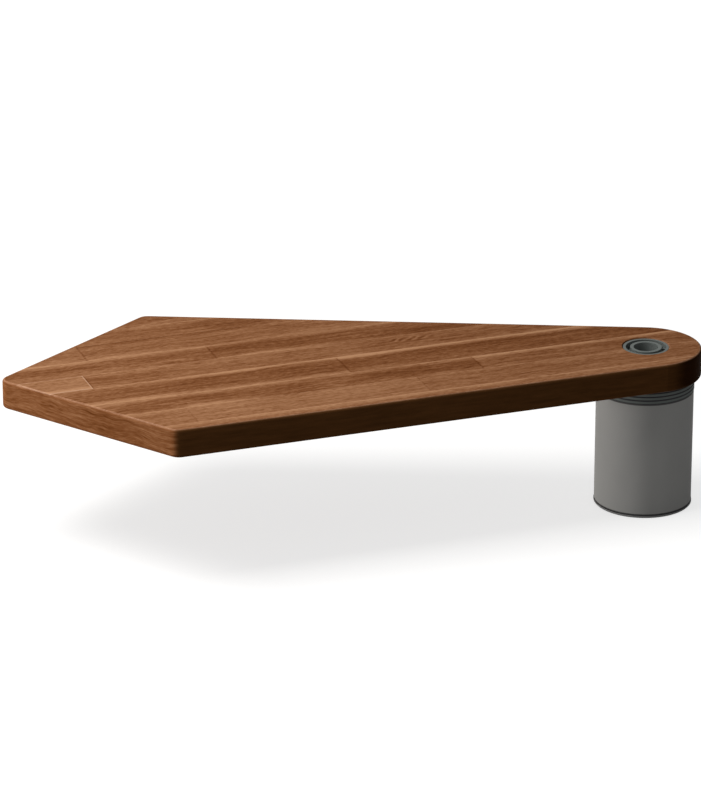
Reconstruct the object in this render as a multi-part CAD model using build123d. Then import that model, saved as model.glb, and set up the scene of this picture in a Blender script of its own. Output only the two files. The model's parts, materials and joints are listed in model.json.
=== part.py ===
from build123d import *
from math import cos, radians, sin, sqrt
import os

os.makedirs("parts", exist_ok=True)

# Corner step of a square-plan spiral stair: a wooden tread with a round hub, and the length of
# column that carries it. Everything is threaded on the stair's central rod and clamped by it.
# Millimetres. The origin is on the column's axis at the underside of the foot disc, +Z is up,
# and the tread reaches along -X to the corner of the stair.

# Tread
PLAN_HALF_SIDE = 594.0  # from the column's axis to each outer side of the square stair
TREAD_HALF_ANGLE = 11.8  # between the stair's diagonal and each long edge, in degrees
HUB_OVERHANG = 8.5  # the round hub stands out past the rims under it by this much
CORNER_RADIUS = 16.0
TREAD_THICKNESS = 38.0
TREAD_EDGE_ROUND = 4.0
TREAD_BORE_RADIUS = 30.0
TREAD_BORE_CHAMFER = 1.5

# Column
TUBE_OUTER_RADIUS = 63.5
TUBE_WALL = 2.0
TUBE_LENGTH = 154.5
ROD_BORE_RADIUS = 16.0

# Moulded discs and rings, stacked under the tread and at the foot of the tube
RIM_OVERHANG = 0.5  # each rim stands out past the tube by this much
RIM_CHAMFER = 1.0
FOOT_RIM_HEIGHT = 4.0
FOOT_PLUG_HEIGHT = 12.0  # how far the foot disc reaches up into the tube
RING_COUNT = 3
RING_HEIGHT = 5.0
FLANGE_HEIGHT = 3.5
SLEEVE_REACH = 10.0  # how far the tread disc's sleeve reaches past the rings into the tube
SPIGOT_RECESS = 1.0  # the tread disc's spigot ends this far under the top of the tread
FIT_CLEARANCE = 0.3  # radial, round each sleeve, spigot and plug
DISC_PLATE = 3.0
DISC_WALL = 3.5
ROD_HUB_WALL = 4.5
RIB_THICKNESS = 2.5
RIB_DEPTH = 10.0
RIB_COUNT = 6

# Worked out from the sizes above
rim_radius = TUBE_OUTER_RADIUS + RIM_OVERHANG
hub_radius = rim_radius + HUB_OVERHANG
tube_bore_radius = TUBE_OUTER_RADIUS - TUBE_WALL
sleeve_radius = tube_bore_radius - FIT_CLEARANCE
sleeve_inner_radius = sleeve_radius - DISC_WALL
spigot_radius = TREAD_BORE_RADIUS - FIT_CLEARANCE
rod_hub_radius = ROD_BORE_RADIUS + ROD_HUB_WALL
tube_z = FOOT_RIM_HEIGHT
rings_z = tube_z + TUBE_LENGTH
flange_z = rings_z + RING_COUNT * RING_HEIGHT
tread_z = flange_z + FLANGE_HEIGHT
tread_top_z = tread_z + TREAD_THICKNESS


def round_bar(radius, bottom, top):
    """Solid round bar on the column's axis, between two heights."""
    return Pos(0, 0, bottom) * extrude(Circle(radius), top - bottom)


def hoop(inner_radius, outer_radius, bottom, top):
    """Ring of square section about the column's axis, between two heights."""
    return Pos(0, 0, bottom) * extrude(Circle(outer_radius) - Circle(inner_radius), top - bottom)


def ribs(inner_radius, outer_radius, bottom, top):
    """Radial ribs that join a hub to the wall round it, reaching half a wall into both."""
    start = inner_radius - ROD_HUB_WALL / 2
    reach = outer_radius + DISC_WALL / 2 - start
    rib = Box(reach, RIB_THICKNESS, top - bottom, align=(Align.MIN, Align.CENTER, Align.MIN))
    return [place * Pos(0, 0, bottom) * rib for place in PolarLocations(start, RIB_COUNT)]


def circles_at(solid, radius, height):
    """The round edges of a solid at one radius and height."""
    ring_edges = solid.edges().filter_by(GeomType.CIRCLE)
    return ring_edges.filter_by(
        lambda edge: abs(edge.radius - radius) < 0.01 and abs(edge.center().Z - height) < 0.01
    )


def rim_eased(solid, bottom, top):
    """The same piece with both edges of its rim broken by a small chamfer."""
    rims = circles_at(solid, rim_radius, bottom) + circles_at(solid, rim_radius, top)
    return chamfer(rims, RIM_CHAMFER)


def tread_outline():
    """A kite on the stair's diagonal: two outer sides square to each other, two long edges that
    run tangent into the round hub, and the three outer corners rounded."""
    angle = radians(TREAD_HALF_ANGLE)
    corner_x = -sqrt(2) * PLAN_HALF_SIDE
    side_offset = (hub_radius - corner_x * sin(angle)) / (sin(angle) + cos(angle))
    outer_corner = (corner_x, 0)
    front_corner = (corner_x + side_offset, -side_offset)
    back_corner = (corner_x + side_offset, side_offset)
    front_tangent = (hub_radius * sin(angle), -hub_radius * cos(angle))
    back_tangent = (hub_radius * sin(angle), hub_radius * cos(angle))
    sides = Polyline(front_tangent, front_corner, outer_corner, back_corner, back_tangent)
    hub = ThreePointArc(back_tangent, (hub_radius, 0), front_tangent)
    outline = make_face(sides + hub)
    outer_corners = outline.vertices().sort_by(Axis.X)[:3]
    return fillet(outer_corners, CORNER_RADIUS)


def tread():
    """Wooden board with eased edges and a bore through its hub."""
    board = extrude(tread_outline(), TREAD_THICKNESS)
    faces = board.faces().sort_by(Axis.Z)
    board = fillet(faces[0].edges() + faces[-1].edges(), TREAD_EDGE_ROUND)
    board -= round_bar(TREAD_BORE_RADIUS, 0, TREAD_THICKNESS)
    rims = circles_at(board, TREAD_BORE_RADIUS, 0) + circles_at(board, TREAD_BORE_RADIUS, TREAD_THICKNESS)
    board = chamfer(rims, TREAD_BORE_CHAMFER)
    return Pos(0, 0, tread_z) * board


def tread_disc():
    """Moulded disc under the tread. Its flange carries the hub, its spigot centres the tread on
    the rod, and its sleeve runs down through the rings and centres the tube."""
    plate_z = tread_z - DISC_PLATE
    sleeve_z = rings_z - SLEEVE_REACH
    spigot_top = tread_top_z - SPIGOT_RECESS
    spigot_inner_radius = spigot_radius - DISC_WALL
    flange = rim_eased(hoop(sleeve_inner_radius, rim_radius, flange_z, tread_z), flange_z, tread_z)
    plate = hoop(ROD_BORE_RADIUS, sleeve_radius, plate_z, tread_z)
    sleeve = hoop(sleeve_inner_radius, sleeve_radius, sleeve_z, tread_z)
    spigot = hoop(spigot_inner_radius, spigot_radius, tread_z, spigot_top)
    rod_hub = hoop(ROD_BORE_RADIUS, rod_hub_radius, sleeve_z, spigot_top)
    lower_ribs = ribs(rod_hub_radius, sleeve_inner_radius, plate_z - RIB_DEPTH, plate_z)
    upper_ribs = ribs(rod_hub_radius, spigot_inner_radius, tread_z, spigot_top - DISC_WALL)
    return flange + plate + sleeve + spigot + rod_hub + lower_ribs + upper_ribs


def adjusting_ring(bottom):
    """Moulded ring that sets the rise, with the same bore as the tube that it stands on."""
    top = bottom + RING_HEIGHT
    return rim_eased(hoop(tube_bore_radius, rim_radius, bottom, top), bottom, top)


def column_tube():
    """Steel tube that stands on the foot disc and carries the rings."""
    return hoop(tube_bore_radius, TUBE_OUTER_RADIUS, tube_z, rings_z)


def foot_disc():
    """Moulded disc at the foot of the tube, with a flat underside and a ribbed plug that centres
    the tube on the rod."""
    plug_top = tube_z + FOOT_PLUG_HEIGHT
    disc = rim_eased(hoop(ROD_BORE_RADIUS, rim_radius, 0, FOOT_RIM_HEIGHT), 0, FOOT_RIM_HEIGHT)
    plug = hoop(sleeve_inner_radius, sleeve_radius, tube_z, plug_top)
    rod_hub = hoop(ROD_BORE_RADIUS, rod_hub_radius, tube_z, plug_top)
    return disc + plug + rod_hub + ribs(rod_hub_radius, sleeve_inner_radius, tube_z, plug_top)


pieces = {
    "tread": tread(),
    "tread_disc": tread_disc(),
    "column_tube": column_tube(),
    "foot_disc": foot_disc(),
}
for number in range(1, RING_COUNT + 1):
    pieces[f"adjusting_ring_{number}"] = adjusting_ring(flange_z - number * RING_HEIGHT)

for name, solid in pieces.items():
    export_step(solid, f"parts/{name}.step")
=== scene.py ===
import json
from math import cos, pi, radians, sin

import bpy
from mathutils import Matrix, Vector


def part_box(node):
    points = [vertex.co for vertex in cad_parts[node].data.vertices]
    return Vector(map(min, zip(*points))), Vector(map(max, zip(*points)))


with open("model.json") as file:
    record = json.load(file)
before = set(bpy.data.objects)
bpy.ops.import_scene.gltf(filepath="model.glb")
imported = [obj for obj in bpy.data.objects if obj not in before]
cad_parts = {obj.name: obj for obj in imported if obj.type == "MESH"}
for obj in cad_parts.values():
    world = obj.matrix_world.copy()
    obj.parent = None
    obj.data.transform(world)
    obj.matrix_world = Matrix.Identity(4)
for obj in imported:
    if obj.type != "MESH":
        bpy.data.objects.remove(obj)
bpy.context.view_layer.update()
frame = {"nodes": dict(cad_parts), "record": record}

# The step stands on its foot disc at the row's origin. Shader lengths below are in millimetres.
METRES_TO_MM = 1000.0
BOARD_MIDDLE_Z = 196.0  # height of the middle of the tread's thickness
BOARD_TOP_Z = 215.0

# Glued staves of the tread, which run alongside its front edge
STAVE_ANGLE = radians(11.8)
STAVE_SEAMS = (-54.0, -3.0, 42.0, 99.0, 146.0, 194.0, 246.0, 291.0)  # across the board
NO_GAP = 999.0  # further than any seam or joint that matters
ROW_SEED = 7.31  # keeps the random values of two rows apart
ROW_START = -2000.0  # well past the tread's outer corner
# Each row of staves: its number, and each change of look along it. A change is where it starts
# along the row, the length it takes, 0 where a butt joint ends one stave and starts the next,
# and then how light the wood is and how far its front and back edges shine with a painted sheen.
# The one change that takes only 8 is a joint that shows no line.
STAVE_ROWS = (
    (0, ((ROW_START, 0, 0.5, 0.5, 0.7),)),
    (1, ((ROW_START, 0, 0.65, 0.05, 0.4), (-627, 0, 0.95, 0.0, 0.2), (-318, 0, 0.3, 0.2, 0.25))),
    (2, ((ROW_START, 0, 0.0, 0.7, 1.2), (-629, 8, -0.2, 1.3, 0.85), (-600, 110, 0.0, 0.0, 0.6),
         (-440, 110, -0.7, 0.45, 1.3), (-226, 0, -0.2, 0.25, 1.4))),
    (3, ((ROW_START, 0, 0.1, 1.2, 0.8), (-680, 120, -0.4, 0.95, 1.3), (-391, 0, -0.45, 0.25, 1.9),
         (-260, 140, -0.65, 0.05, 1.7))),
    (4, ((ROW_START, 0, 1.0, 0.8, 0.3), (-717, 0, 0.0, 0.3, 0.9), (-660, 100, 0.5, 0.15, 0.35),
         (-380, 70, 0.0, 0.2, 0.2))),
    (5, ((ROW_START, 0, 0.0, 0.25, 1.1), (-536, 0, -0.4, 1.0, 0.65), (-450, 170, -0.6, 0.1, 0.65))),
    (6, ((ROW_START, 0, 0.5, 0.7, 0.0), (-695, 0, 0.5, 0.45, -0.3), (-480, 90, 0.5, 0.3, 0.4))),
    (7, ((ROW_START, 0, 0.0, 0.4, 0.5),)),
    (8, ((ROW_START, 0, 0.0, 0.5, 0.0),)),
)
FRONT_SHINE_REACH = 21.0  # how far a stave's painted sheen reaches in from its front seam
BACK_SHINE_REACH = 17.0
SEAM_HIGHLIGHT_REACH = 2.7  # how far the painted highlight on a seam fades out to each side
JOINT_LINE_REACH = 2.2
LINE_CORE = 0.5  # such a line is at its full strength this close to its seam or joint
PALEST_STAVES = (0.96, 1.0)  # between these lightnesses, joints turn from dark lines to pale ones

# Figure of the wood. A pace is how fast a pattern changes along the grain and across it.
PATTERN_SPREAD = 700.0  # how far apart two staves are cut from the same pattern
GRAIN_WANDER = 16.0  # how far the grain strays sideways
WANDER_PACE = (0.012, 0.02)
BAND_PACE = (0.006, 0.06)
STREAK_PACE = (0.014, 0.2)
PORE_PACE = (0.13, 0.5)
FLECK_PACE = (0.03, 0.35)
EDGE_BOW = 26.0  # how far the lines of the outer edges bow
EDGE_BOW_PACE = (0.012, 0.015)
EDGE_LINE_PACE = (0.014, 0.22)
EDGE_FIBRE_PACE = (0.09, 0.7)

# Small patch of curly grain: its middle along and across the staves, and how far it reaches
# along, across and down
CURL_ALONG, CURL_ACROSS = -277.0, 130.0
CURL_REACH = (42.0, 9.0, 8.0)

# Colour of the stained walnut from its darkest figure to its palest, each at half of its tone
WALNUT_BY_TONE = (
    (0.2, (0.105, 0.032, 0.008)),
    (0.35, (0.162, 0.059, 0.0205)),
    (0.5, (0.225, 0.096, 0.0415)),
    (0.675, (0.303, 0.147, 0.0725)),
    (0.875, (0.397, 0.207, 0.109)),
)

# Other colours, each with an alpha of one
# Painted highlight on the rim and the seams, which also colours the pale joint lines
WOOD_HIGHLIGHT = (0.46, 0.28, 0.19, 1.0)
# Painted shade of the long edges and the hub, darkest on the hub's end
BAND_SHADE = (0.07, 0.0282, 0.0088, 1.0)
HUB_END_SHADE = (0.016, 0.0055, 0.0013, 1.0)
COAT_DARK, COAT_PALE = (0.17, 0.169, 0.165, 1.0), (0.46, 0.458, 0.446, 1.0)
# Painted shade at the tube's ends
TUBE_END_SHADE = (0.03, 0.03, 0.031, 1.0)
# Darkest and palest grain of each moulded plastic, and the shade painted in its chamfers
DISC_COLOURS = ((0.092, 0.101, 0.098, 1.0), (0.19, 0.21, 0.2, 1.0), (0.062, 0.062, 0.065, 1.0))
FOOT_COLOURS = ((0.14, 0.14, 0.14, 1.0), (0.29, 0.29, 0.29, 1.0), (0.033, 0.033, 0.034, 1.0))
WHITE = (1.0, 1.0, 1.0, 1.0)
FLOOR_SEEN = ((0.40, 0.40, 0.40, 1.0), (0.42, 0.42, 0.42, 1.0))  # under its white glow
FLOOR_UNSEEN = ((0.36, 0.36, 0.36, 1.0), (0.40, 0.40, 0.40, 1.0))  # as it lights the step

# Floor, in metres
FLOOR_REACH = 30.0
FLOOR_Z = -0.0005  # a hair under the foot disc
UNDER_TREAD = (-0.4, 0.0, 0.0)
FOOT_OPENING = 0.06  # radius of the opening that shows the foot disc's underside

# What the softboxes are aimed at, in metres, and the level of the room's even light
TREAD_MIDDLE = Vector((-0.42, 0.0, 0.2))
COLUMN_MIDDLE = Vector((0.0, 0.0, 0.09))
ROOM_LEVEL = 0.3

# Camera, fitted to the photograph's perspective, with its aim and distance in metres
CAMERA_AIM = Vector((-0.378531, 0.054075, 0.139903))
CAMERA_DISTANCE = 6.185
CAMERA_AZIMUTH, CAMERA_ELEVATION = -98.13, 21.514  # degrees
SENSOR_WIDTH, FOCAL_LENGTH = 36.0, 214.07  # millimetres


class Bench:
    """One node tree, with short calls that place a node and feed its sockets."""

    def __init__(self, tree):
        self.tree = tree

    def place(self, kind, feeds, **settings):
        node = self.tree.nodes.new(kind)
        for name, value in settings.items():
            setattr(node, name, value)
        for socket, value in feeds.items():
            self.feed(node.inputs[socket], value)
        return node

    def feed(self, socket, value):
        if isinstance(value, bpy.types.NodeSocket):
            self.tree.links.new(value, socket)
        else:
            socket.default_value = value

    def group(self, tree, feeds):
        return self.place("ShaderNodeGroup", feeds, node_tree=tree).outputs

    def math(self, operation, *values, clamp=False):
        feeds = dict(enumerate(values))
        return self.place("ShaderNodeMath", feeds, operation=operation, use_clamp=clamp).outputs[0]

    def vector(self, operation, *values):
        node = self.place("ShaderNodeVectorMath", dict(enumerate(values)), operation=operation)
        return node.outputs["Value" if operation in ("DOT_PRODUCT", "LENGTH", "DISTANCE") else "Vector"]

    def scaled(self, vector, factor):
        feeds = {"Vector": vector, "Scale": factor}
        return self.place("ShaderNodeVectorMath", feeds, operation="SCALE").outputs["Vector"]

    def combine(self, x, y, z):
        return self.place("ShaderNodeCombineXYZ", {"X": x, "Y": y, "Z": z}).outputs[0]

    def split(self, vector):
        return self.place("ShaderNodeSeparateXYZ", {"Vector": vector}).outputs

    def noise(self, vector, detail=2.0, roughness=0.5):
        feeds = {"Vector": vector, "Scale": 1.0, "Detail": detail, "Roughness": roughness}
        return self.place("ShaderNodeTexNoise", feeds).outputs[0]

    def centred(self, pattern):
        """Pattern about nought, from one that varies about a half."""
        return self.math("SUBTRACT", pattern, 0.5)

    def between(self, value, low, high):
        """Straight line from low to high as the value goes from nought to one."""
        return self.math("MULTIPLY_ADD", value, high - low, low)

    def ease(self, value, start, end, low=0.0, high=1.0):
        """Smooth step from low to high as the value goes from start to end."""
        feeds = {"Value": value, "From Min": start, "From Max": end, "To Min": low, "To Max": high}
        return self.place("ShaderNodeMapRange", feeds, interpolation_type="SMOOTHSTEP").outputs["Result"]

    def weighed(self, base, parts):
        """The base with each pattern added to it at its weight."""
        for pattern, weight in parts:
            base = self.math("MULTIPLY_ADD", pattern, weight, base)
        return base

    def mix(self, factor, first, second):
        node = self.place("ShaderNodeMix", {}, data_type="RGBA")
        for index, value in ((0, factor), (6, first), (7, second)):
            self.feed(node.inputs[index], value)
        return node.outputs[2]

    def bump(self, height, distance):
        """Normal of a relief. The distance is what a height of one stands for, in metres."""
        feeds = {"Height": height, "Distance": distance, "Strength": 1.0}
        return self.place("ShaderNodeBump", feeds).outputs["Normal"]

    def position(self):
        """Place on the piece, in millimetres."""
        return self.scaled(self.place("ShaderNodeTexCoord", {}).outputs["Object"], METRES_TO_MM)

    def facing(self):
        """Direction that the piece's surface faces, in the piece's own frame."""
        return self.place("ShaderNodeTexCoord", {}).outputs["Normal"]

    def rays(self):
        """Masks of camera rays, and of all rays that show what is round the step: camera rays and
        those off a gloss or through glass."""
        path = self.place("ShaderNodeLightPath", {}).outputs
        off_piece = self.math("MAXIMUM", path["Is Glossy Ray"], path["Is Transmission Ray"])
        return path["Is Camera Ray"], self.math("MAXIMUM", path["Is Camera Ray"], off_piece)


def new_group(name, inputs, outputs):
    """Empty shader node group with named sockets, as a bench, its inputs and its output node."""
    tree = bpy.data.node_groups.new(name, "ShaderNodeTree")
    for label, kind, start in inputs:
        socket = tree.interface.new_socket(label, in_out="INPUT", socket_type=f"NodeSocket{kind}")
        if start is not None:
            socket.default_value = start
    for label, kind in outputs:
        tree.interface.new_socket(label, in_out="OUTPUT", socket_type=f"NodeSocket{kind}")
    given = tree.nodes.new("NodeGroupInput").outputs
    result = tree.nodes.new("NodeGroupOutput")
    return Bench(tree), given, result


def finish_group(bench, result, values):
    """The group's tree, once these values feed its outputs."""
    for label, value in values.items():
        bench.feed(result.inputs[label], value)
    return bench.tree


def stave_change_group():
    """One change along one row: a butt joint, where the next stave takes over at once, or a slow
    change along one stave. It counts the joints passed and keeps the distance to the nearest."""
    bench, given, result = new_group(
        "stave change",
        [("Row", "Float", 0.0), ("Along", "Float", 0.0), ("Count", "Float", 0.0), ("Look", "Vector", None),
         ("Gap", "Float", NO_GAP), ("Change Row", "Float", 0.0), ("Change Place", "Float", 0.0),
         ("Change Length", "Float", 0.0), ("Look After", "Vector", None)],
        [("Count", "Float"), ("Look", "Vector"), ("Gap", "Float")],
    )
    in_row = bench.math("COMPARE", given["Row"], given["Change Row"], 0.5)
    past = bench.math("GREATER_THAN", given["Along"], given["Change Place"])
    sudden = bench.math("LESS_THAN", given["Change Length"], 0.5)
    joint = bench.math("MULTIPLY", in_row, sudden)
    count = bench.math("MULTIPLY_ADD", joint, past, given["Count"])

    # The end lies a hair past the start even at a butt joint, so that the step has some length
    change_end = bench.math("ADD", given["Change Place"], given["Change Length"])
    change_end = bench.math("ADD", change_end, 0.01)
    turned = bench.ease(given["Along"], given["Change Place"], change_end)
    turned = bench.math("MULTIPLY", in_row, turned)
    change = bench.vector("SUBTRACT", given["Look After"], given["Look"])
    look = bench.vector("ADD", given["Look"], bench.scaled(change, turned))

    no_joint = bench.math("SUBTRACT", 1.0, joint)
    distance = bench.math("ABSOLUTE", bench.math("SUBTRACT", given["Along"], given["Change Place"]))
    distance = bench.math("MULTIPLY_ADD", no_joint, NO_GAP, distance)
    gap = bench.math("MINIMUM", given["Gap"], distance)
    return finish_group(bench, result, {"Count": count, "Look": look, "Gap": gap})


def stave_layout_group(stave_change):
    """Where a point lies in the glued board: along and across it, in which stave, how far from its
    front and back seams and from a butt joint, and that stave's own look and random values."""
    bench, given, result = new_group(
        "stave layout",
        [("Position", "Vector", None)],
        [("Along", "Float"), ("Across", "Float"), ("Stave Middle", "Float"), ("Front Gap", "Float"),
         ("Back Gap", "Float"), ("Joint Gap", "Float"), ("Lightness", "Float"), ("Front Shine", "Float"),
         ("Back Shine", "Float"), ("Stave Random", "Color")],
    )
    grain = (cos(STAVE_ANGLE), sin(STAVE_ANGLE), 0.0)
    cross_grain = (-sin(STAVE_ANGLE), cos(STAVE_ANGLE), 0.0)
    along = bench.vector("DOT_PRODUCT", given["Position"], grain)
    across = bench.vector("DOT_PRODUCT", given["Position"], cross_grain)

    row, front_gap, back_gap = 0.0, NO_GAP, NO_GAP
    for seam in STAVE_SEAMS:
        past = bench.math("GREATER_THAN", across, seam)
        short = bench.math("SUBTRACT", 1.0, past)
        distance = bench.math("ABSOLUTE", bench.math("SUBTRACT", across, seam))
        to_front = bench.math("MULTIPLY_ADD", short, NO_GAP, distance)
        to_back = bench.math("MULTIPLY_ADD", past, NO_GAP, distance)
        row = bench.math("ADD", row, past)
        front_gap = bench.math("MINIMUM", front_gap, to_front)
        back_gap = bench.math("MINIMUM", back_gap, to_back)
    middle = bench.math("MULTIPLY_ADD", bench.math("SUBTRACT", back_gap, front_gap), 0.5, across)

    count, look, gap = 0.0, (0.0, 0.0, 0.0), NO_GAP
    for row_number, changes in STAVE_ROWS:
        for place, length, *look_after in changes:
            change = bench.group(stave_change, {
                "Row": row, "Along": along, "Count": count, "Look": look, "Gap": gap,
                "Change Row": row_number, "Change Place": place, "Change Length": length,
                "Look After": look_after})
            count, look, gap = change["Count"], change["Look"], change["Gap"]
    stave = bench.math("MULTIPLY_ADD", row, ROW_SEED, count)
    random = bench.place("ShaderNodeTexWhiteNoise", {"W": stave}, noise_dimensions="1D").outputs["Color"]
    look = bench.split(look)
    return finish_group(bench, result, {
        "Along": along, "Across": across, "Stave Middle": middle, "Front Gap": front_gap,
        "Back Gap": back_gap, "Joint Gap": gap, "Lightness": look["X"], "Front Shine": look["Y"],
        "Back Shine": look["Z"], "Stave Random": random})


def wood_figure_group():
    """Solid figure of one stave: growth rings about a pith line under it, broad bands, fine
    streaks, pores and dark flecks, all cut where the stave's surface is."""
    bench, given, result = new_group(
        "wood figure",
        [("Along", "Float", 0.0), ("Across", "Float", 0.0), ("Height", "Float", 0.0),
         ("Stave Middle", "Float", 0.0), ("Stave Random", "Color", None), ("Ring Spacing", "Float", 4.5)],
        [("Rings", "Float"), ("Bands", "Float"), ("Streaks", "Float"), ("Pores", "Float"),
         ("Flecks", "Float")],
    )
    along, across, height = given["Along"], given["Across"], given["Height"]
    shift = bench.scaled(given["Stave Random"], PATTERN_SPREAD)
    chance = bench.split(given["Stave Random"])

    def in_grain(across_place, pace):
        """Place in a pattern that is stretched along the grain and shifted for this stave."""
        stretched = bench.combine(
            bench.math("MULTIPLY", along, pace[0]),
            bench.math("MULTIPLY", across_place, pace[1]),
            bench.math("MULTIPLY", height, pace[1]))
        return bench.vector("ADD", stretched, shift)

    stray = bench.centred(bench.noise(in_grain(across, WANDER_PACE)))
    strayed = bench.math("MULTIPLY_ADD", stray, GRAIN_WANDER, across)

    # Each stave's pith lies to one side of its middle, some way down, and leans a little
    pith_side = bench.between(chance["X"], -30.0, 30.0)
    pith_depth = bench.between(chance["Y"], 55.0, 125.0)
    pith_lean = bench.between(chance["Z"], -0.03, 0.03)
    off_side = bench.math("SUBTRACT", bench.math("SUBTRACT", strayed, given["Stave Middle"]), pith_side)
    off_side = bench.math("MULTIPLY_ADD", along, pith_lean, off_side)
    off_depth = bench.math("ADD", bench.math("SUBTRACT", height, BOARD_MIDDLE_Z), pith_depth)
    radius = bench.vector("LENGTH", bench.combine(off_side, off_depth, 0.0))
    ring = bench.math("FRACT", bench.math("DIVIDE", radius, given["Ring Spacing"]))
    rings = bench.math("MULTIPLY", bench.ease(ring, 0.0, 0.8), bench.ease(ring, 1.0, 0.88))
    flecks = bench.noise(in_grain(strayed, FLECK_PACE), 1.0)
    return finish_group(bench, result, {
        "Rings": rings,
        "Bands": bench.noise(in_grain(strayed, BAND_PACE)),
        "Streaks": bench.noise(in_grain(strayed, STREAK_PACE), 3.0, 0.65),
        "Pores": bench.noise(in_grain(strayed, PORE_PACE), 2.0, 0.6),
        "Flecks": bench.ease(flecks, 0.64, 0.76)})


def edge_band_group():
    """Masks of the tread's sides: all of them, the band of painted shade on its long edges and its hub,
    the end grain of the hub, where the painted shade is darkest, and the rim round its faces, where
    a highlight is painted."""
    bench, given, result = new_group(
        "edge band",
        [("Facing", "Vector", None)],
        [("Side", "Float"), ("Band", "Float"), ("Hub End", "Float"), ("Rim", "Float")],
    )
    facing = bench.split(given["Facing"])
    sideways = bench.vector("LENGTH", bench.combine(facing["X"], facing["Y"], 0.0))
    side = bench.ease(sideways, 0.3, 0.9)
    rim = bench.math("MULTIPLY", bench.ease(sideways, 0.1, 0.5), bench.ease(sideways, 0.98, 0.6))

    # The outer edges face well toward -X, the long edges a little toward +X and the hub's end more
    toward_hub = bench.math("DIVIDE", facing["X"], bench.math("MAXIMUM", sideways, 0.001))
    # Painted shade: the band on the long edges and the hub, darker still on the hub's end
    band = bench.math("MULTIPLY", side, bench.ease(toward_hub, -0.62, -0.05))
    first_step = bench.ease(toward_hub, 0.2, 0.235, 0.0, 0.2)
    hub_end = bench.math("ADD", first_step, bench.ease(toward_hub, 0.26, 0.6, 0.0, 0.8))
    return finish_group(bench, result, {
        "Side": side, "Band": band, "Hub End": hub_end, "Rim": rim})


def edge_veneer_group():
    """Figure of the outer edges, where fine lines run along the edge and bow a little."""
    bench, given, result = new_group(
        "edge veneer", [("Position", "Vector", None)], [("Lines", "Float"), ("Fibres", "Float")])
    position = bench.split(given["Position"])
    along = bench.math("MULTIPLY", bench.math("ABSOLUTE", position["Y"]), 1.414)  # edges at 45 degrees

    def on_edge(up, pace, layer):
        """Place in one layer of a pattern that is stretched along the edge."""
        return bench.combine(
            bench.math("MULTIPLY", along, pace[0]), bench.math("MULTIPLY", up, pace[1]), layer)

    bow = bench.centred(bench.noise(on_edge(position["Z"], EDGE_BOW_PACE, 3.7)))
    bowed = bench.math("MULTIPLY_ADD", bow, EDGE_BOW, position["Z"])
    return finish_group(bench, result, {
        "Lines": bench.noise(on_edge(bowed, EDGE_LINE_PACE, 8.1), 3.0, 0.65),
        "Fibres": bench.noise(on_edge(bowed, EDGE_FIBRE_PACE, 5.3), 2.0, 0.6)})


def ripple_group():
    """Small patch of curl in the grain, whose short slanting ripples are painted in as light and shade."""
    bench, given, result = new_group(
        "ripple",
        [("Along", "Float", 0.0), ("Across", "Float", 0.0), ("Height", "Float", 0.0)],
        [("Ripple", "Float")],
    )
    along = bench.math("SUBTRACT", given["Along"], CURL_ALONG)
    across = bench.math("SUBTRACT", given["Across"], CURL_ACROSS)
    depth = bench.math("SUBTRACT", given["Height"], BOARD_TOP_Z)
    away = bench.vector("DIVIDE", bench.combine(along, across, depth), CURL_REACH)
    strength = bench.ease(bench.vector("LENGTH", away), 1.0, 0.5)
    wobble = bench.noise(bench.combine(
        bench.math("MULTIPLY", along, 0.05), bench.math("MULTIPLY", across, 0.05), 2.2))
    slant = bench.math("MULTIPLY_ADD", across, -1.1, along)
    turns = bench.math("MULTIPLY_ADD", wobble, 7.0, bench.math("MULTIPLY", slant, 0.45))
    wave = bench.math("MULTIPLY", bench.math("SINE", turns), strength)
    return finish_group(bench, result, {"Ripple": wave})


def slow_drift_group():
    """Slow, uneven drift about one, for the faint clouding of any large surface."""
    bench, given, result = new_group(
        "slow drift",
        [("Position", "Vector", None), ("Patch Size", "Float", 60.0), ("Amount", "Float", 0.05)],
        [("Drift", "Float")],
    )
    size = given["Patch Size"]
    place = bench.vector("DIVIDE", given["Position"], bench.combine(size, size, size))
    swing = bench.math("MULTIPLY", given["Amount"], 2.0)
    drift = bench.math("MULTIPLY_ADD", bench.centred(bench.noise(place, 3.0)), swing, 1.0)
    return finish_group(bench, result, {"Drift": drift})


def pebble_group():
    """Fine pebbled relief of a sprayed or moulded skin, as a height."""
    bench, given, result = new_group(
        "pebble", [("Position", "Vector", None), ("Pebble Size", "Float", 1.0)], [("Height", "Float")])
    size = given["Pebble Size"]
    place = bench.vector("DIVIDE", given["Position"], bench.combine(size, size, size))
    return finish_group(bench, result, {"Height": bench.noise(place)})


def chamfer_shade_mask_group():
    """Mask of the small chamfers of the moulded discs and rings, where shade is painted."""
    bench, given, result = new_group("chamfer painted shade", [("Facing", "Vector", None)], [("Painted Shade", "Float")])
    steep = bench.math("ABSOLUTE", bench.split(given["Facing"])["Z"])
    shade_mask = bench.math("MULTIPLY", bench.ease(steep, 0.3, 0.6), bench.ease(steep, 0.95, 0.8))
    return finish_group(bench, result, {"Painted Shade": shade_mask})


def empty_material(name):
    """Material without nodes, and a bench for its tree."""
    material = bpy.data.materials.new(name)
    material.use_nodes = True
    material.node_tree.nodes.clear()
    return material, Bench(material.node_tree)


def piece_material(name, specular):
    """Material of a piece of the step, with its bench and the sockets of its Principled shader."""
    material, bench = empty_material(name)
    shader = bench.place("ShaderNodeBsdfPrincipled", {"Specular IOR Level": specular})
    bench.place("ShaderNodeOutputMaterial", {"Surface": shader.outputs["BSDF"]})
    return material, bench, shader.inputs


def walnut_colour(bench, tone):
    """Colour of the stained walnut, by a tone that goes from nought to two."""
    ramp = bench.place("ShaderNodeValToRGB", {"Fac": bench.math("MULTIPLY", tone, 0.5)})
    steps = ramp.color_ramp.elements
    for place, colour in WALNUT_BY_TONE:
        steps.new(place).color = (*colour, 1.0)
    steps.remove(steps[0])
    steps.remove(steps[-1])
    return ramp.outputs["Color"]


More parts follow.
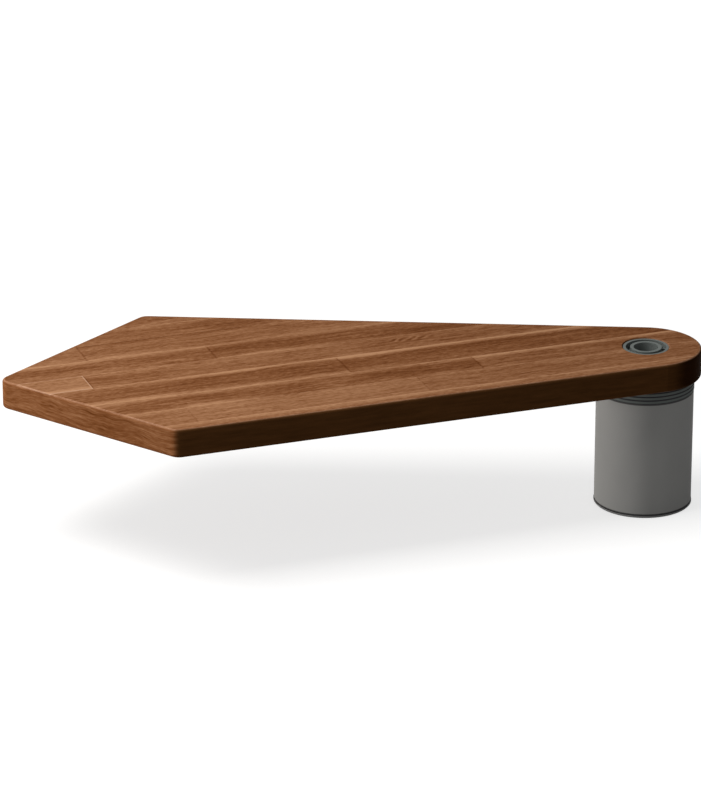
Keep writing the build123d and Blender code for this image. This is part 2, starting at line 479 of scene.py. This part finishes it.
def stained_wood(stave_layout, wood_figure, edge_band, edge_veneer, ripple, slow_drift):
    """Walnut-stained stave board under satin lacquer, with painted shade as a dark band on the long edges.
    """
    material, bench, sockets = piece_material("stained_wood", specular=0.002)
    position = bench.position()
    height = bench.split(position)["Z"]
    layout = bench.group(stave_layout, {"Position": position})
    along, across, lightness = layout["Along"], layout["Across"], layout["Lightness"]
    figure = bench.group(wood_figure, {
        "Along": along, "Across": across, "Height": height,
        "Stave Middle": layout["Stave Middle"], "Stave Random": layout["Stave Random"]})
    band = bench.group(edge_band, {"Facing": bench.facing()})
    veneer = bench.group(edge_veneer, {"Position": position})
    # Painted light and shade of the curly patch
    curl_light_and_shade = bench.group(ripple, {"Along": along, "Across": across, "Height": height})["Ripple"]
    drift = bench.group(slow_drift, {"Position": position, "Patch Size": 130.0, "Amount": 0.1})["Drift"]

    # Each stave has a painted sheen towards its seams, and a thin painted highlight lies along them
    front = bench.math("POWER", bench.ease(layout["Front Gap"], FRONT_SHINE_REACH, 0.0), 1.5)
    back = bench.math("POWER", bench.ease(layout["Back Gap"], BACK_SHINE_REACH, 0.0), 1.5)
    painted_sheen = bench.math("MULTIPLY", front, layout["Front Shine"])
    painted_sheen = bench.math("MULTIPLY_ADD", back, layout["Back Shine"], painted_sheen)
    painted_sheen = bench.math("MULTIPLY", painted_sheen, bench.ease(figure["Bands"], 0.3, 0.65, 0.65, 1.15))
    seam_gap = bench.math("MINIMUM", layout["Front Gap"], layout["Back Gap"])
    seam_highlight = bench.math("MULTIPLY", bench.ease(seam_gap, SEAM_HIGHLIGHT_REACH, LINE_CORE), painted_sheen)
    speck = bench.math("MULTIPLY_ADD", bench.centred(figure["Pores"]), 2.0, 1.0)
    seam_highlight_tone = bench.math("MULTIPLY", speck, bench.math("MULTIPLY_ADD", lightness, 0.4, 0.42))

    # A butt joint is a dark line, or a pale one in the palest staves, and fainter at the front
    at_joint = bench.ease(layout["Joint Gap"], JOINT_LINE_REACH, LINE_CORE)
    joint_tone = bench.ease(lightness, *PALEST_STAVES, -0.24, 0.4)
    joint_tone = bench.math("MULTIPLY", joint_tone, bench.ease(across, -6.0, 0.0, 0.5, 1.0))

    # How light the faces are
    tone = bench.weighed(0.9, (
        (lightness, 0.3),
        (painted_sheen, 0.64),
        (bench.centred(figure["Bands"]), 0.5),
        (bench.centred(figure["Streaks"]), 1.15),
        (bench.centred(figure["Pores"]), 1.3),
        (figure["Rings"], -0.06),
        (figure["Flecks"], -0.36),
        (curl_light_and_shade, 0.28),
        (seam_highlight, seam_highlight_tone),
        (at_joint, joint_tone),
    ))

    # How light the outer edges are
    edge_tone = bench.weighed(0.76, (
        (bench.centred(veneer["Lines"]), 1.35),
        (bench.centred(veneer["Fibres"]), 1.1),
    ))
    tone = bench.math("MULTIPLY_ADD", bench.math("SUBTRACT", edge_tone, tone), band["Side"], tone)
    tone = bench.math("MULTIPLY", tone, drift)

    # Highlights are painted on the rim and on the seams of the palest staves, and pale lines on their
    # joints
    pale_stave = bench.ease(lightness, *PALEST_STAVES, 0.0, 0.6)
    pale_stave = bench.math("MULTIPLY", pale_stave, bench.math("SUBTRACT", 1.0, band["Side"]))
    pale_line = bench.math("MULTIPLY_ADD", seam_highlight, 1.7, at_joint)
    highlight_and_pale_lines = bench.math("MULTIPLY", band["Rim"], bench.ease(lightness, 0.4, 1.0, 0.27, 0.5))
    highlight_and_pale_lines = bench.math("MULTIPLY_ADD", pale_stave, pale_line, highlight_and_pale_lines)
    highlight_and_pale_lines = bench.math("MULTIPLY", highlight_and_pale_lines, speck, clamp=True)
    body = bench.mix(highlight_and_pale_lines, walnut_colour(bench, tone), WOOD_HIGHLIGHT)

    # Painted shade darkens the long edges and the hub, most on the hub's end, and follows the streaks
    band_shade_colour = bench.mix(band["Hub End"], BAND_SHADE, HUB_END_SHADE)
    band_shade_colour = bench.scaled(band_shade_colour, bench.math("MULTIPLY_ADD", bench.centred(figure["Streaks"]), 1.1, 1.0))
    bench.feed(sockets["Base Color"], bench.mix(band["Band"], body, band_shade_colour))

    roughness = bench.between(figure["Streaks"], 0.36, 0.52)
    bench.feed(sockets["Roughness"], bench.math("MULTIPLY_ADD", band["Band"], 0.08, roughness))
    relief = bench.math("MULTIPLY_ADD", figure["Flecks"], -0.35, figure["Pores"])
    groove = bench.ease(bench.math("MINIMUM", seam_gap, layout["Joint Gap"]), 0.0, LINE_CORE)
    bench.feed(sockets["Normal"], bench.bump(bench.math("ADD", relief, groove), 0.00012))
    return material


def coated_steel(slow_drift, pebble):
    """Grey powder coat on the column tube, with a faint orange-peel skin and painted shade at its ends."""
    material, bench, sockets = piece_material("coated_steel", specular=0.008)
    position = bench.position()
    drift = bench.group(slow_drift, {"Position": position, "Patch Size": 45.0, "Amount": 0.05})["Drift"]
    peel = bench.group(pebble, {"Position": position, "Pebble Size": 1.1})["Height"]
    speck = bench.group(pebble, {"Position": position, "Pebble Size": 0.35})["Height"]
    tone = bench.math("MULTIPLY_ADD", bench.centred(speck), 0.12, drift)
    coat = bench.mix(bench.centred(tone), COAT_DARK, COAT_PALE)

    # Shade is painted where the tube stands on the foot disc and where the rings stand on the tube
    tube_low, tube_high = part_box("column_tube")
    height = bench.split(position)["Z"]
    above_foot = bench.math("SUBTRACT", height, tube_low[2] * METRES_TO_MM)
    below_rings = bench.math("SUBTRACT", tube_high[2] * METRES_TO_MM, height)
    at_foot = bench.ease(above_foot, 1.7, 0.9, 0.0, 0.8)
    at_rings = bench.ease(below_rings, 2.3, 1.5, 0.0, 0.8)
    shade_mask = bench.math("MAXIMUM", at_foot, at_rings)
    bench.feed(sockets["Base Color"], bench.mix(shade_mask, coat, TUBE_END_SHADE))
    bench.feed(sockets["Roughness"], bench.between(peel, 0.45, 0.59))
    relief = bench.math("MULTIPLY_ADD", speck, 0.3, peel)
    bench.feed(sockets["Normal"], bench.bump(relief, 0.00008))
    return material


def moulded_plastic(name, slow_drift, pebble, chamfer_shading, colours):
    """Matt moulded plastic of the discs and rings, finely grained, with painted shade in its chamfers."""
    material, bench, sockets = piece_material(name, specular=0.01)
    dark, pale, chamfer_shade_colour = colours
    position = bench.position()
    drift = bench.group(slow_drift, {"Position": position, "Patch Size": 25.0, "Amount": 0.12})["Drift"]
    grain = bench.group(pebble, {"Position": position, "Pebble Size": 0.6})["Height"]
    shade_mask = bench.group(chamfer_shading, {"Facing": bench.facing()})["Painted Shade"]
    tone = bench.math("MULTIPLY_ADD", bench.centred(grain), 0.3, drift)
    skin = bench.mix(bench.centred(tone), dark, pale)
    # Painted shade darkens the chamfers
    bench.feed(sockets["Base Color"], bench.mix(shade_mask, skin, chamfer_shade_colour))
    bench.feed(sockets["Roughness"], bench.between(grain, 0.42, 0.58))
    bench.feed(sockets["Normal"], bench.bump(grain, 0.00006))
    return material


def dress_nodes():
    """Gives each CAD node the finish of its material slot."""
    slow_drift, pebble, chamfer_shading = slow_drift_group(), pebble_group(), chamfer_shade_mask_group()
    stave_layout = stave_layout_group(stave_change_group())
    finishes = {
        "stained_wood": stained_wood(
            stave_layout, wood_figure_group(), edge_band_group(), edge_veneer_group(), ripple_group(),
            slow_drift),
        "coated_steel": coated_steel(slow_drift, pebble),
        "disc_plastic": moulded_plastic("disc_plastic", slow_drift, pebble, chamfer_shading, DISC_COLOURS),
        "foot_plastic": moulded_plastic("foot_plastic", slow_drift, pebble, chamfer_shading, FOOT_COLOURS),
    }
    for subpart in frame["record"]["subparts"]:
        node = frame["nodes"][subpart["node"]]
        for slot in node.material_slots:
            slot.material = finishes[subpart["material_slot"]]


def pale_floor():
    """Finish of the floor. Seen directly it is white apart from the shadow, and clear from below."""
    material, bench = empty_material("pale_floor")
    place = bench.place("ShaderNodeTexCoord", {}).outputs["Object"]
    cloud = bench.noise(bench.scaled(place, 1.5), 3.0)
    from_camera, direct = bench.rays()

    # The white glow is weaker near the step, so that the shadow shows there
    level = bench.ease(bench.vector("DISTANCE", place, UNDER_TREAD), 0.6, 1.5, 0.7, 1.0)
    glow = bench.place("ShaderNodeEmission", {"Color": WHITE, "Strength": level})
    seen = bench.place("ShaderNodeBsdfDiffuse", {"Color": bench.mix(cloud, *FLOOR_SEEN)})
    pale = bench.place("ShaderNodeAddShader", {0: seen.outputs[0], 1: glow.outputs[0]})
    unseen = bench.place("ShaderNodeBsdfDiffuse", {"Color": bench.mix(cloud, *FLOOR_UNSEEN)})
    top_side = bench.place("ShaderNodeMixShader", {0: direct, 1: unseen.outputs[0], 2: pale.outputs[0]})

    clear = bench.place("ShaderNodeBsdfTransparent", {})
    below = bench.place("ShaderNodeNewGeometry", {}).outputs["Backfacing"]
    seen_from_below = bench.math("MULTIPLY", below, from_camera)
    under_foot = bench.math("LESS_THAN", bench.vector("LENGTH", place), FOOT_OPENING)
    open_part = bench.math("MAXIMUM", seen_from_below, under_foot)
    both = bench.place("ShaderNodeMixShader", {0: open_part, 1: top_side.outputs[0], 2: clear.outputs[0]})
    bench.place("ShaderNodeOutputMaterial", {"Surface": both.outputs[0]})
    return material


def lay_floor():
    """Wide square floor under the foot disc."""
    mesh = bpy.data.meshes.new("floor")
    ends = (-FLOOR_REACH, FLOOR_REACH)
    mesh.from_pydata([(x, y, FLOOR_Z) for y in ends for x in ends], [], [(0, 1, 3, 2)])
    mesh.materials.append(pale_floor())
    floor = bpy.data.objects.new("floor", mesh)
    bpy.context.scene.collection.objects.link(floor)


def light_room():
    """Even ambient light. Looked at directly, or in a gloss, the room is white."""
    world = bpy.data.worlds.new("studio")
    bpy.context.scene.world = world
    world.use_nodes = True
    world.node_tree.nodes.clear()
    bench = Bench(world.node_tree)
    direct = bench.rays()[1]
    room = bench.place("ShaderNodeBackground", {"Color": WHITE, "Strength": ROOM_LEVEL})
    white = bench.place("ShaderNodeBackground", {"Color": WHITE, "Strength": 1.0})
    both = bench.place("ShaderNodeMixShader", {0: direct, 1: room.outputs[0], 2: white.outputs[0]})
    bench.place("ShaderNodeOutputWorld", {"Surface": both.outputs[0]})


def stand_off(thing, aim, azimuth, elevation, distance):
    """Places a lamp or camera off its aim, at an azimuth from +X and an elevation in degrees, and
    turns it to face the aim."""
    azimuth, elevation = radians(azimuth), radians(elevation)
    away = Vector((cos(azimuth) * cos(elevation), sin(azimuth) * cos(elevation), sin(elevation)))
    thing.location = aim + away * distance
    thing.rotation_mode = "QUATERNION"
    thing.rotation_quaternion = away.to_track_quat("Z", "Y")
    bpy.context.scene.collection.objects.link(thing)


def softbox(name, aim, azimuth, elevation, distance, level, width, height, colour):
    """Area lamp aimed at a point. Its level is the brightness of a white surface there that faces it."""
    lamp = bpy.data.lights.new(name, "AREA")
    lamp.shape = "RECTANGLE"
    lamp.size, lamp.size_y = width, height
    lamp.color = colour
    lamp.energy = level * pi * pi * distance * distance
    box = bpy.data.objects.new(name, lamp)
    box.visible_camera = False
    stand_off(box, aim, azimuth, elevation, distance)


def light_step():
    """A large softbox high over the outer corner, and a low one that reaches under the tread."""
    softbox(
        "key_softbox", TREAD_MIDDLE, azimuth=190.0, elevation=62.0, distance=1.9,
        level=1.03, width=1.1, height=1.1, colour=(1.0, 0.985, 0.96))
    softbox(
        "low_softbox", COLUMN_MIDDLE, azimuth=175.0, elevation=1.0, distance=3.0,
        level=0.6, width=1.0, height=0.25, colour=(1.0, 0.98, 0.95))


def place_camera():
    """Long lens from the photograph's side."""
    camera = bpy.data.cameras.new("camera")
    camera.sensor_width = SENSOR_WIDTH
    camera.lens = FOCAL_LENGTH
    camera.clip_end = 100.0
    holder = bpy.data.objects.new("camera", camera)
    stand_off(holder, CAMERA_AIM, CAMERA_AZIMUTH, CAMERA_ELEVATION, CAMERA_DISTANCE)
    bpy.context.scene.camera = holder


place_camera()
dress_nodes()
lay_floor()
light_room()
light_step()
bpy.context.scene.view_settings.view_transform = "Standard"
